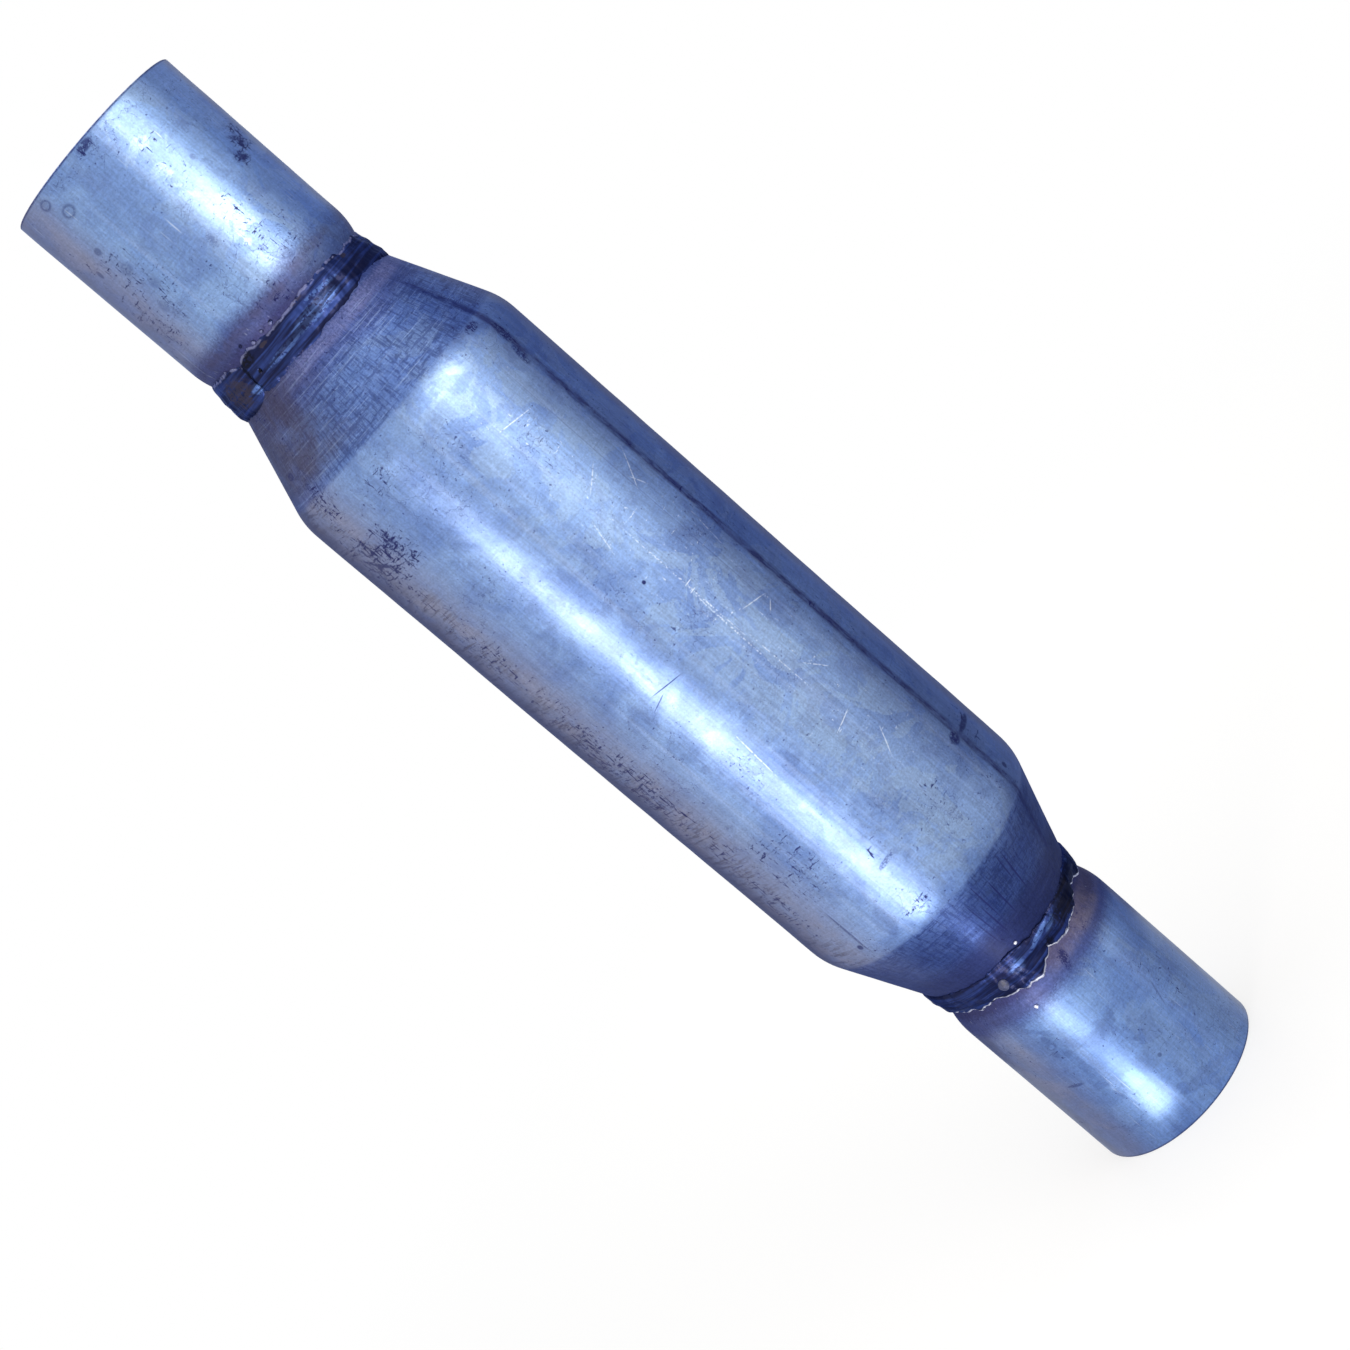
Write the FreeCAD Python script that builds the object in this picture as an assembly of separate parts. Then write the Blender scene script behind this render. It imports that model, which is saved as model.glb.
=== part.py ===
import FreeCAD, Part
import math
import os

# A round straight-through muffler: a seam-welded shell with spun cone ends, a pipe stub
# welded to each neck, and inside a perforated core wrapped in metal wool and fibre.
# Sizes are in millimetres and degrees. +Z runs along the axis, from the outlet end up to
# the inlet end. The origin is the centre of the outlet pipe's open end, on which it stands.
# Around the axis, 0 degrees is +X and angles grow towards +Y.

# Pipe stubs
pipe_od = 63.5
pipe_wall = 1.5
inlet_pipe_length = 76.2
outlet_pipe_length = 77.0
rim_rounding = 0.4

# Weld ends of the pipes: a bevel rises from the root, then a curve drawn in from the bore
pipe_draw_in = 1.55
draw_in_length = 8.4
bevel_length = 5.5
seat_length = 3.0
root_face = 0.5

# Shell
shell_od = 88.9
shell_wall = 1.5
shell_length = 284.8
cone_angle = 21.6
shoulder_radius = 24.0

# Longitudinal seam of the shell, a flat ridge that stops short of the welds
seam_angle = -38.0
seam_width = 3.0
seam_rise = 0.2
seam_end_gap = 3.5

# Perforated core, which slides into both necks and reaches a little into the pipes
core_clearance = 0.125
core_wall = 1.2
core_reach = 8.5
core_plain_end = 34.0
core_hole_diameter = 6.0
core_holes_in_a_row = 14
core_row_pitch = 12.0

# Wool and fibre around the core
wool_thickness = 4.0
packing_clearance = 0.2

# Weld runs: start and end angle, reach from the root over the pipe and over the cone,
# and how far the crown stands above the line between the two toes. A run lies over the
# end of the run before it, and the last one closes the ring over the start of the first.
inlet_runs = [
    {"start": 152.0, "end": -147.0, "on_pipe": 5.2, "on_cone": 5.4, "crown": 0.35},
    {"start": -145.0, "end": -210.0, "on_pipe": 7.2, "on_cone": 6.6, "crown": 0.9},
]
outlet_runs = [
    {"start": 152.0, "end": -72.0, "on_pipe": 4.2, "on_cone": 5.5, "crown": 0.7},
    {"start": -69.5, "end": -91.0, "on_pipe": 5.0, "on_cone": 4.2, "crown": 1.0},
    {"start": -91.0, "end": -210.0, "on_pipe": 6.4, "on_cone": 5.5, "crown": 1.1},
]

# Balls of spatter: which stub or cone they stick to, their distance from the root of the
# nearest weld, angle and radius
spatter_sunk = 0.35
spatter_balls = [
    {"end": "outlet", "on": "pipe", "distance": 13.0, "angle": -111.4, "radius": 0.7},
    {"end": "outlet", "on": "cone", "distance": 6.4, "angle": -92.2, "radius": 0.6},
    {"end": "inlet", "on": "pipe", "distance": 6.3, "angle": -100.8, "radius": 0.75},
    {"end": "inlet", "on": "pipe", "distance": 6.6, "angle": -107.5, "radius": 0.55},
    {"end": "inlet", "on": "pipe", "distance": 6.2, "angle": -115.2, "radius": 0.65},
    {"end": "inlet", "on": "pipe", "distance": 8.4, "angle": -121.5, "radius": 0.5},
]

# Island of slag on the last outlet run
slag_angle = -114.6
slag_offset = -0.2
slag_diameter = 4.0
slag_height = 0.45

# Derived sizes
pipe_radius = pipe_od / 2
shell_radius = shell_od / 2
throat_radius = pipe_radius - pipe_wall - pipe_draw_in
core_radius = throat_radius - core_clearance
root_radius = throat_radius + root_face
outlet_root_z = outlet_pipe_length
inlet_root_z = outlet_root_z + shell_length
cone_slope = math.tan(math.radians(cone_angle))
cone_length = (shell_radius - root_radius) / cone_slope
cone_turn = math.radians(cone_angle)
wool_radius = core_radius + core_clearance + wool_thickness
draw_in_bend = (draw_in_length ** 2 + pipe_draw_in ** 2) / (2 * pipe_draw_in)
draw_in_turn = math.asin(draw_in_length / draw_in_bend)

ORIGIN = FreeCAD.Vector(0, 0, 0)
AXIS = FreeCAD.Vector(0, 0, 1)


def point(radius, z):
    return FreeCAD.Vector(radius, 0, z)


def direction(angle):
    """The level unit vector at an angle around the axis."""
    return FreeCAD.Vector(math.cos(math.radians(angle)), math.sin(math.radians(angle)), 0)


def section(start, steps):
    """A face in the plane of radius and height. A step is the point that a line ends at,
    or the middle and the end of an arc."""
    edges = []
    here = point(*start)
    for step in steps:
        if isinstance(step[0], tuple):
            middle, end = step
            edges.append(Part.Arc(here, point(*middle), point(*end)).toShape())
        else:
            end = step
            edges.append(Part.makeLine(here, point(*end)))
        here = point(*end)
    edges.append(Part.makeLine(here, point(*start)))
    return Part.Face(Part.Wire(edges))


def turned(face, start=0.0, sweep=360.0):
    """A section turned about the axis, from a start angle through a sweep."""
    solid = face.revolve(ORIGIN, AXIS, sweep)
    solid.rotate(ORIGIN, AXIS, start)
    return solid


def round_bar(radius, low_z, high_z):
    return Part.makeCylinder(radius, high_z - low_z, point(0, low_z), AXIS)


def tube(outer_radius, inner_radius, low_z, high_z):
    return round_bar(outer_radius, low_z, high_z).cut(round_bar(inner_radius, low_z, high_z))


def draw_in_point(inset, turn):
    """A point on a pipe's drawn-in curve, by its inset from the outside and the angle
    turned from the straight pipe: radius, and distance from the root of the weld."""
    bend = draw_in_bend - inset
    radius = pipe_radius - draw_in_bend + bend * math.cos(turn)
    distance = bevel_length + draw_in_length - bend * math.sin(turn)
    return radius, distance


def pipe_surface_radius(distance):
    """The outside radius of a pipe, at a distance from the root of its weld."""
    toe_radius = pipe_radius - pipe_draw_in
    if distance < bevel_length:
        return root_radius + (toe_radius - root_radius) * distance / bevel_length
    short = bevel_length + draw_in_length - distance
    if short > 0:
        return pipe_radius - draw_in_bend + math.sqrt(draw_in_bend ** 2 - short ** 2)
    return pipe_radius


def cone_surface_radius(distance):
    """The outside radius of a cone, at a distance from the root of its weld."""
    return root_radius + cone_slope * distance


def pipe_stub(root_z, way, length):
    """A pipe stub from its weld root to its open end. way is +1 upwards, -1 downwards."""
    bore_radius = pipe_radius - pipe_wall
    straight = bevel_length + draw_in_length
    quarter = rim_rounding * (1 - math.sqrt(0.5))

    def at(radius, distance):
        return radius, root_z + way * distance

    outline = [
        at(pipe_radius - pipe_draw_in, bevel_length),
        (at(*draw_in_point(0, draw_in_turn / 2)), at(pipe_radius, straight)),
        at(pipe_radius, length - rim_rounding),
        (at(pipe_radius - quarter, length - quarter), at(pipe_radius - rim_rounding, length)),
        at(bore_radius + rim_rounding, length),
        (at(bore_radius + quarter, length - quarter), at(bore_radius, length - rim_rounding)),
        at(bore_radius, straight),
        (at(*draw_in_point(pipe_wall, draw_in_turn / 2)), at(*draw_in_point(pipe_wall, draw_in_turn))),
        at(throat_radius, seat_length),
        at(throat_radius, 0),
    ]
    return turned(section(at(root_radius, 0), outline))


def shoulder(corner_z, way, inset):
    """The rounded shoulder between body and cone, drawn in by an inset. way is +1 for the
    upper end, -1 for the lower end. Its points on the cone, in the middle and on the body."""
    radius = shell_radius - inset
    bend = shoulder_radius - inset
    half_turn = cone_turn / 2
    tangent = bend * math.tan(half_turn)
    corner = corner_z - way * inset * math.tan(half_turn)
    on_cone = (radius - tangent * math.sin(cone_turn), corner + way * tangent * math.cos(cone_turn))
    on_body = (radius, corner - way * tangent)
    middle = (radius - bend * (1 - math.cos(half_turn)), on_body[1] + way * bend * math.sin(half_turn))
    return on_cone, middle, on_body


def cone_foot_z(root_z, way, inset, radius):
    """The height at which a cone, drawn in by an inset, has a given radius."""
    drawn_in_root = root_radius - inset / math.cos(cone_turn)
    return root_z - way * (radius - drawn_in_root) / cone_slope


def shell_form(inset, end_radius):
    """The solid form of the shell, drawn in by an inset, between the two places where its
    cones have the end radius."""
    low_z = cone_foot_z(outlet_root_z, -1, inset, end_radius)
    high_z = cone_foot_z(inlet_root_z, +1, inset, end_radius)
    low_cone, low_middle, low_body = shoulder(outlet_root_z + cone_length, -1, inset)
    high_cone, high_middle, high_body = shoulder(inlet_root_z - cone_length, +1, inset)
    outline = [
        (end_radius, low_z),
        low_cone,
        (low_middle, low_body),
        high_body,
        (high_middle, high_cone),
        (end_radius, high_z),
        (0, high_z),
    ]
    return section((0, low_z), outline)


def body_shell():
    outside = turned(shell_form(0, root_radius))
    seam_sweep = math.degrees(seam_width / shell_radius)
    widest_run = max(run["on_cone"] for run in inlet_runs + outlet_runs)
    seam_form = shell_form(-seam_rise, cone_surface_radius(widest_run + seam_end_gap))
    seam = turned(seam_form, seam_angle - seam_sweep / 2, seam_sweep)
    inside = turned(shell_form(shell_wall, throat_radius))
    neck_bores = round_bar(throat_radius, outlet_root_z, inlet_root_z)
    return outside.fuse(seam).cut([inside, neck_bores]).removeSplitter()


def perforated_ring(low_z):
    """One ring of the core with its row of holes at mid-height."""
    inner_radius = core_radius - core_wall
    ring = tube(core_radius, inner_radius, low_z, low_z + core_row_pitch)
    centre = point(0, low_z + core_row_pitch / 2)
    for hole in range(core_holes_in_a_row):
        outward = direction(hole * 360.0 / core_holes_in_a_row)
        start = centre + outward * (inner_radius / 2)
        ring = ring.cut(Part.makeCylinder(core_hole_diameter / 2, core_radius, start, outward))
    return ring


def perforated_core():
    """The core: plain ends, and between them rings of holes staggered by half a step."""
    inner_radius = core_radius - core_wall
    rows = int((shell_length - 2 * core_plain_end) // core_row_pitch)
    first_z = outlet_root_z + (shell_length - rows * core_row_pitch) / 2
    last_z = first_z + rows * core_row_pitch
    stagger = 180.0 / core_holes_in_a_row
    ring = perforated_ring(first_z)
    pieces = [
        tube(core_radius, inner_radius, outlet_root_z - core_reach, first_z),
        tube(core_radius, inner_radius, last_z, inlet_root_z + core_reach),
    ]
    for row in range(rows):
        copy = ring.copy()
        copy.rotate(ORIGIN, AXIS, stagger * (row % 2))
        copy.translate(AXIS * (row * core_row_pitch))
        pieces.append(copy)
    return pieces[0].fuse(pieces[1:])


def steel_wool_wrap():
    inset = shell_wall + packing_clearance
    low_z = cone_foot_z(outlet_root_z, -1, inset, wool_radius)
    high_z = cone_foot_z(inlet_root_z, +1, inset, wool_radius)
    return tube(wool_radius, core_radius + core_clearance, low_z, high_z)


def fibre_packing():
    inner_radius = wool_radius + packing_clearance
    form = turned(shell_form(shell_wall + packing_clearance, inner_radius))
    return form.cut(round_bar(inner_radius, outlet_root_z, inlet_root_z))


def weld_section(root_z, way, run):
    """The section of a weld run: an arc over the groove from toe to toe, on a floor that
    lies inside the walls. The pipe and the shell are cut from it later."""
    bite = root_face / 2
    toe_distance = run["on_pipe"]
    pipe_toe = (pipe_surface_radius(toe_distance), root_z + way * toe_distance)
    cone_toe = (cone_surface_radius(run["on_cone"]), root_z - way * run["on_cone"])
    middle_radius = (pipe_toe[0] + cone_toe[0]) / 2 + run["crown"]
    middle_z = (pipe_toe[1] + cone_toe[1]) / 2
    floor = [(cone_toe[0] - bite, cone_toe[1]), (root_radius - bite, root_z)]
    if toe_distance > bevel_length:
        floor.append((pipe_surface_radius(bevel_length) - bite, root_z + way * bevel_length))
    floor.append((pipe_toe[0] - bite, pipe_toe[1]))
    return section(pipe_toe, [((middle_radius, middle_z), cone_toe)] + floor)


def weld_run(root_z, way, run):
    """One weld run, laid towards smaller angles, with a start that is round seen from
    outside."""
    face = weld_section(root_z, way, run)
    sweep = (run["start"] - run["end"]) % 360
    run_along = turned(face.copy(), run["end"], sweep)
    half_width = (run["on_pipe"] + run["on_cone"]) / 2
    nose_sweep = math.degrees(half_width / root_radius)
    nose_z = root_z + way * (run["on_pipe"] - run["on_cone"]) / 2
    nose_form = Part.makeCylinder(half_width, shell_radius, point(0, nose_z), direction(run["start"]))
    nose = turned(face, run["start"], nose_sweep).common(nose_form)
    return run_along.fuse(nose)


def weld_ring(root_z, way, runs, joined):
    """The runs of one weld, each cut by the pipe, the shell and the runs laid over it."""
    laid = [weld_run(root_z, way, run) for run in runs]
    finished = []
    for index, shape in enumerate(laid):
        finished.append(shape.cut(joined + laid[index + 1:]).removeSplitter())
    return finished


def weld_spatter(joined):
    """Balls of weld metal, each flattened on what it sticks to."""
    balls = []
    for ball in spatter_balls:
        root_z = inlet_root_z if ball["end"] == "inlet" else outlet_root_z
        up = 1 if ball["end"] == "inlet" else -1
        if ball["on"] == "pipe":
            surface = pipe_surface_radius(ball["distance"])
            z = root_z + up * ball["distance"]
        else:
            surface = cone_surface_radius(ball["distance"])
            z = root_z - up * ball["distance"]
        stand = surface + ball["radius"] * (1 - spatter_sunk)
        centre = point(0, z) + direction(ball["angle"]) * stand
        balls.append(Part.makeSphere(ball["radius"], centre))
    return Part.makeCompound(balls).cut(joined)


def slag_spot(under):
    """A thin lens of slag on the crown of the weld run under it. The window keeps the cap
    of a ball, whose rim runs into the weld."""
    run = outlet_runs[-1]
    z = outlet_root_z + (run["on_cone"] - run["on_pipe"]) / 2 + slag_offset
    crown = (pipe_surface_radius(run["on_pipe"]) + cone_surface_radius(run["on_cone"])) / 2 + run["crown"]
    lens_radius = (slag_diameter ** 2 / 4 + slag_height ** 2) / (2 * slag_height)
    outward = direction(slag_angle)
    lens_centre = point(0, z) + outward * (crown + slag_height - lens_radius)
    lens = Part.makeSphere(lens_radius, lens_centre, outward)
    window_base = point(0, z) + outward * (crown - slag_height)
    window = Part.makeCylinder(slag_diameter, 2 * slag_height, window_base, outward)
    return lens.common(window).cut(under)


def build():
    shell = body_shell()
    inlet_pipe = pipe_stub(inlet_root_z, +1, inlet_pipe_length)
    outlet_pipe = pipe_stub(outlet_root_z, -1, outlet_pipe_length)
    inlet_weld = weld_ring(inlet_root_z, +1, inlet_runs, [shell, inlet_pipe])
    outlet_weld = weld_ring(outlet_root_z, -1, outlet_runs, [shell, outlet_pipe])
    parts = {
        "body_shell": shell,
        "inlet_pipe": inlet_pipe,
        "outlet_pipe": outlet_pipe,
        "perforated_core": perforated_core(),
        "steel_wool_wrap": steel_wool_wrap(),
        "fibre_packing": fibre_packing(),
        "weld_spatter": weld_spatter([shell, inlet_pipe, outlet_pipe] + inlet_weld + outlet_weld),
        "slag_spot": slag_spot(outlet_weld[-1]),
    }
    for number, run in enumerate(inlet_weld, start=1):
        parts["inlet_weld_run_%d" % number] = run
    for number, run in enumerate(outlet_weld, start=1):
        parts["outlet_weld_run_%d" % number] = run
    return parts


os.makedirs("parts", exist_ok=True)
for name, shape in build().items():
    shape.exportStep("parts/%s.step" % name)
    print(name, "valid" if shape.isValid() else "INVALID", len(shape.Solids), round(shape.Volume, 2))
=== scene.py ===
import math
import bpy
import numpy as np
from mathutils import Euler, Matrix, Vector


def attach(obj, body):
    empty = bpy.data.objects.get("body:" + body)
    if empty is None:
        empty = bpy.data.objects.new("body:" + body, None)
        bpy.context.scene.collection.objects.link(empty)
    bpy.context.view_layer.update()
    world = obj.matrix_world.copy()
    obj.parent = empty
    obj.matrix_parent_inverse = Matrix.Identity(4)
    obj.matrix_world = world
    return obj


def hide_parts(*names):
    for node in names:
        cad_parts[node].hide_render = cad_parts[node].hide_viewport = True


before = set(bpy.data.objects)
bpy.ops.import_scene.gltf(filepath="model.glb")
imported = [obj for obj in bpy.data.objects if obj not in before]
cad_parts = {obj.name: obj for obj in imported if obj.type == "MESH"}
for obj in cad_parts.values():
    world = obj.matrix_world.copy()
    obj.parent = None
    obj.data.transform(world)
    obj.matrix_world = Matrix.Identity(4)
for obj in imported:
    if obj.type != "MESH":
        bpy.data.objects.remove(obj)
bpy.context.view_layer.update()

# Sizes are in millimetres and angles in degrees, as in the source of the part. Meshes are
# scaled to metres when they are made. "a" is the angle around the axis from the front
# (-Y) towards +X, and "x" is the distance from the upper end of the inlet pipe.
MM = 0.001
LENGTH = 438.0

# Pipes: the edge of the open end is rounded by RIM. The weld end is drawn in over
# DRAW_LENGTH, with the radius BEND, and then bevelled.
PIPE_R = 31.75
PIPE_WALL = 1.5
INLET_PIPE = 76.2
OUTLET_PIPE = 77.0
RIM = 0.4
DRAW_IN = 1.55
DRAW_LENGTH = 8.4
BEND = (DRAW_LENGTH ** 2 + DRAW_IN ** 2) / (2 * DRAW_IN)
BEVEL = 5.5
SEAT = 3.0

# Shell: cones from ROOT_R at the weld roots to the tube, with a rounded shoulder
SHELL_R = 44.45
SHELL_WALL = 1.5
ROOT_R = 29.2
THROAT_R = 28.7
CONE_ANGLE = math.radians(21.6)
CONE_SLOPE = math.tan(CONE_ANGLE)
CONE_LENGTH = (SHELL_R - ROOT_R) / CONE_SLOPE
SHOULDER_R = 24.0
SHOULDER_T = SHOULDER_R * math.tan(CONE_ANGLE / 2)
SEAM_A = 52.0

# The two weld roots: their height z, and their distance x from the upper end
OUTLET_ROOT = OUTLET_PIPE
INLET_ROOT = LENGTH - INLET_PIPE
OUTLET_X = LENGTH - OUTLET_PIPE
INLET_X = INLET_PIPE

# Inside: core, wool and packing, with a gap between one layer and the next
CORE_R = 28.575
WOOL_R = 32.7
GAP = 0.2
LINING = SHELL_WALL + GAP


def smooth(x, low, high):
    """Smooth step from 0 at low to 1 at high."""
    t = np.clip((x - low) / (high - low), 0, 1)
    return t * t * (3 - 2 * t)


def waves(points, size, seed, count=14):
    """Smooth noise of about unit height: a sum of seeded sine waves of about one size."""
    random = np.random.default_rng(seed)
    ways = random.normal(size=(count, 3))
    ways /= np.linalg.norm(ways, axis=1)[:, None]
    ways *= 2 * np.pi / (size * random.uniform(0.7, 1.5, count))[:, None]
    phases = random.uniform(0, 2 * np.pi, count)
    return np.sin(points @ ways.T + phases).sum(axis=-1) / math.sqrt(count / 2)


def from_root(z):
    """Distance along the axis from the nearer weld root."""
    return np.minimum(z - OUTLET_ROOT, INLET_ROOT - z)


def cone_r(distance):
    """Outside radius of the shell, at a distance from the nearer weld root."""
    foot = CONE_LENGTH - SHOULDER_T * math.cos(CONE_ANGLE)
    top = CONE_LENGTH + SHOULDER_T
    cone = ROOT_R + CONE_SLOPE * distance
    arc = SHELL_R - SHOULDER_R + np.sqrt(SHOULDER_R ** 2 - np.clip(top - distance, 0, SHOULDER_R) ** 2)
    return np.where(distance < foot, cone, np.where(distance < top, arc, SHELL_R))


def pipe_r(distance):
    """Outside radius of a pipe, at a distance from the root of its weld."""
    distance = np.asarray(distance, float)
    short = np.clip(BEVEL + DRAW_LENGTH - distance, 0, DRAW_LENGTH)
    arc = PIPE_R - BEND + np.sqrt(BEND ** 2 - short ** 2)
    bevel = ROOT_R + (PIPE_R - DRAW_IN - ROOT_R) * distance / BEVEL
    return np.where(distance < BEVEL, bevel, arc)


def place(radius, a, z):
    """Points from radius, angle a and height."""
    t = np.radians(a)
    return np.stack(np.broadcast_arrays(radius * np.sin(t), -radius * np.cos(t), z), axis=-1)


def link_object(name, data):
    thing = bpy.data.objects.new(name, data)
    bpy.context.scene.collection.objects.link(thing)
    return thing


def make_piece(name, vertices, faces, material, sharp=40.0):
    """A smooth mesh from points in millimetres. Edges past the angle sharp stay sharp."""
    mesh = bpy.data.meshes.new(name)
    mesh.from_pydata((np.asarray(vertices) * MM).tolist(), [], [list(f) for f in faces])
    mesh.update()
    mesh.shade_smooth()
    mesh.set_sharp_from_angle(angle=math.radians(sharp))
    mesh.materials.append(material)
    return link_object(name, mesh)


def set_attribute(piece, name, values):
    data = piece.data.attributes.new(name, "FLOAT", "POINT").data
    data.foreach_set("value", values.astype(np.float32))


def grime(piece, radius, rows):
    """How dirty each point is, from rows of a, x, half size round, half size along and strength.
    A row fades out from half its size to 1.35 times its size."""
    count = len(piece.data.vertices)
    points = np.empty(count * 3, np.float32)
    piece.data.vertices.foreach_get("co", points)
    points = points.reshape(-1, 3) / MM
    a = np.degrees(np.arctan2(points[:, 0], -points[:, 1]))
    x = LENGTH - points[:, 2]
    most = np.zeros(count, np.float32)
    for at_a, at_x, half_round, half_along, strength in rows:
        across = np.radians(a - at_a) * radius / half_round
        away = np.hypot(across, (x - at_x) / half_along)
        most = np.maximum(most, strength * smooth(away, 1.35, 0.5))
    set_attribute(piece, "grime", most)


def sweep(sections, closed):
    """Vertices and faces of closed sections joined one to the next: all the way round, or
    with the two end sections capped by fans."""
    rows, points = sections.shape[:2]
    vertices = sections.reshape(-1, 3)
    here = np.arange(points)
    ahead = (here + 1) % points
    faces = []
    for row in range(rows if closed else rows - 1):
        low, high = row * points, (row + 1) % rows * points
        faces.append(np.stack([low + here, low + ahead, high + ahead, high + here], axis=1))
    quads = np.concatenate(faces)
    corners = vertices[quads]
    volume = np.einsum("ij,ij->i", corners[:, 0], np.cross(corners[:, 1], corners[:, 2])).sum()
    volume += np.einsum("ij,ij->i", corners[:, 0], np.cross(corners[:, 2], corners[:, 3])).sum()
    faces = quads.tolist()
    if not closed:
        ends = [vertices[:points].mean(axis=0), vertices[-points:].mean(axis=0)]
        first, last = len(vertices), len(vertices) + 1
        vertices = np.concatenate([vertices, ends])
        base = (rows - 1) * points
        faces += [[int(b), int(a), first] for a, b in zip(here, ahead)]
        faces += [[int(base + a), int(base + b), last] for a, b in zip(here, ahead)]
    if volume < 0:
        faces = [face[::-1] for face in faces]
    return vertices, faces


def lathe(name, outline, angles, material, shape, sharp=40.0):
    """A closed outline of (radius, z) turned about the axis. shape(a, radius, z) gives how
    far each point stands out."""
    outline = np.asarray(outline)
    a = np.asarray(angles)[:, None]
    radius = np.broadcast_to(outline[:, 0], (len(angles), len(outline)))
    z = np.broadcast_to(outline[:, 1], radius.shape)
    radius = radius + shape(np.broadcast_to(a, radius.shape), radius, z)
    vertices, faces = sweep(place(radius, a, z), True)
    return make_piece(name, vertices, faces, material, sharp)


# Node graphs. The shell's graph is near the number of values that the renderer can hold at
# once, so a mark is joined to the ones before it as soon as it is made.

def rgb(red, green, blue):
    """A colour given as it looks on screen, 0 to 255, in linear light."""
    parts = [c / 255 for c in (red, green, blue)]
    return tuple(c / 12.92 if c <= 0.04045 else ((c + 0.055) / 1.055) ** 2.4 for c in parts) + (1.0,)


class Graph:
    """A short way of writing node graphs. A number, colour or socket can go into any input."""

    def __init__(self, tree):
        self.tree = tree

    def put(self, socket, value):
        if isinstance(value, bpy.types.NodeSocket):
            self.tree.links.new(value, socket)
        else:
            socket.default_value = value

    def node(self, kind, inputs=(), **settings):
        node = self.tree.nodes.new(kind)
        for key, value in settings.items():
            setattr(node, key, value)
        for key, value in dict(inputs).items():
            self.put(node.inputs[key], value)
        return node

    def math(self, operation, *values):
        return self.node("ShaderNodeMath", enumerate(values), operation=operation).outputs[0]

    def chain(self, operation, values):
        total = values[0]
        for value in values[1:]:
            total = self.math(operation, total, value)
        return total

    def add(self, *values):
        return self.chain("ADD", values)

    def times(self, *values):
        return self.chain("MULTIPLY", values)

    def most(self, *values):
        return self.chain("MAXIMUM", values)

    def minus(self, first, second):
        return self.math("SUBTRACT", first, second)

    def swing(self, noise, *factors):
        """Noise moved to lie about 0, times some factors."""
        return self.times(self.minus(noise, 0.5), *factors)

    def step(self, value, low, high, start=0.0, end=1.0):
        """Smooth step: start below low, end above high. low may be above high."""
        if isinstance(low, float | int) and low > high:
            low, high, start, end = high, low, end, start
        inputs = enumerate((value, low, high, start, end))
        return self.node("ShaderNodeMapRange", inputs, interpolation_type="SMOOTHSTEP").outputs[0]

    def band(self, value, low, high, soft):
        """1 from low to high, with an edge of twice soft on either side."""
        rise = self.step(value, low - soft, low + soft)
        return self.times(rise, self.step(value, high + soft, high - soft))

    def mix(self, factor, first, second):
        inputs = {0: factor, 6: first, 7: second}
        return self.node("ShaderNodeMix", inputs, data_type="RGBA", clamp_factor=True).outputs[2]

    def over(self, colour, new, *factors):
        """A new colour laid over another by the product of some factors."""
        return self.mix(self.times(*factors), colour, new)

    def shade(self, colour, factor):
        """A colour made lighter or darker by a factor."""
        inputs = {0: colour, "Scale": factor}
        return self.node("ShaderNodeVectorMath", inputs, operation="SCALE").outputs[0]

    def scaled(self, vector, x, y, z):
        inputs = {0: vector, 1: (x, y, z)}
        return self.node("ShaderNodeVectorMath", inputs, operation="MULTIPLY").outputs[0]

    def combine(self, x, y, z):
        return self.node("ShaderNodeCombineXYZ", {0: x, 1: y, 2: z}).outputs[0]

    def bearing(self, x, y):
        """The angle a of a point."""
        return self.math("DEGREES", self.math("ARCTAN2", x, self.times(y, -1.0)))

    def noise(self, vector, scale, detail=3.0, roughness=0.55, distortion=0.0):
        inputs = {"Vector": vector, "Scale": scale, "Detail": detail, "Roughness": roughness}
        return self.node("ShaderNodeTexNoise", inputs | {"Distortion": distortion}).outputs[0]

    def cracks(self, vector, scale, width, bend):
        """Thin crooked lines: the edges of warped cells."""
        shift = self.node("ShaderNodeTexNoise", {"Vector": vector, "Scale": scale * 2.6, "Detail": 3.0})
        inputs = {0: shift.outputs["Color"], 1: (bend, bend, bend), 2: vector}
        moved = self.node("ShaderNodeVectorMath", inputs, operation="MULTIPLY_ADD")
        inputs = {"Vector": moved.outputs[0], "Scale": scale}
        edge = self.node("ShaderNodeTexVoronoi", inputs, feature="DISTANCE_TO_EDGE").outputs["Distance"]
        return self.step(edge, width, width * 0.3)

    def bump(self, height, strength, distance):
        inputs = {"Strength": strength, "Distance": distance, "Height": height}
        return self.node("ShaderNodeBump", inputs).outputs[0]


def new_material(name):
    material = bpy.data.materials.new(name)
    material.use_nodes = True
    material.node_tree.nodes.clear()
    return material, Graph(material.node_tree)


def start_material(name):
    """A material whose graph knows where a point lies: mm in millimetres, x and a."""
    material, g = new_material(name)
    g.mm = g.scaled(g.node("ShaderNodeTexCoord").outputs["Object"], 1000, 1000, 1000)
    parts = g.node("ShaderNodeSeparateXYZ", {0: g.mm}).outputs
    g.x = g.minus(LENGTH, parts[2])
    g.a = g.bearing(parts[0], parts[1])
    return material, g


def finish_material(g, colour, roughness, normal, more=()):
    inputs = {"Base Color": colour, "Roughness": roughness, "Normal": normal}
    inputs.update(more)
    shader = g.node("ShaderNodeBsdfPrincipled", inputs)
    g.node("ShaderNodeOutputMaterial", {0: shader.outputs[0]})


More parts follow.
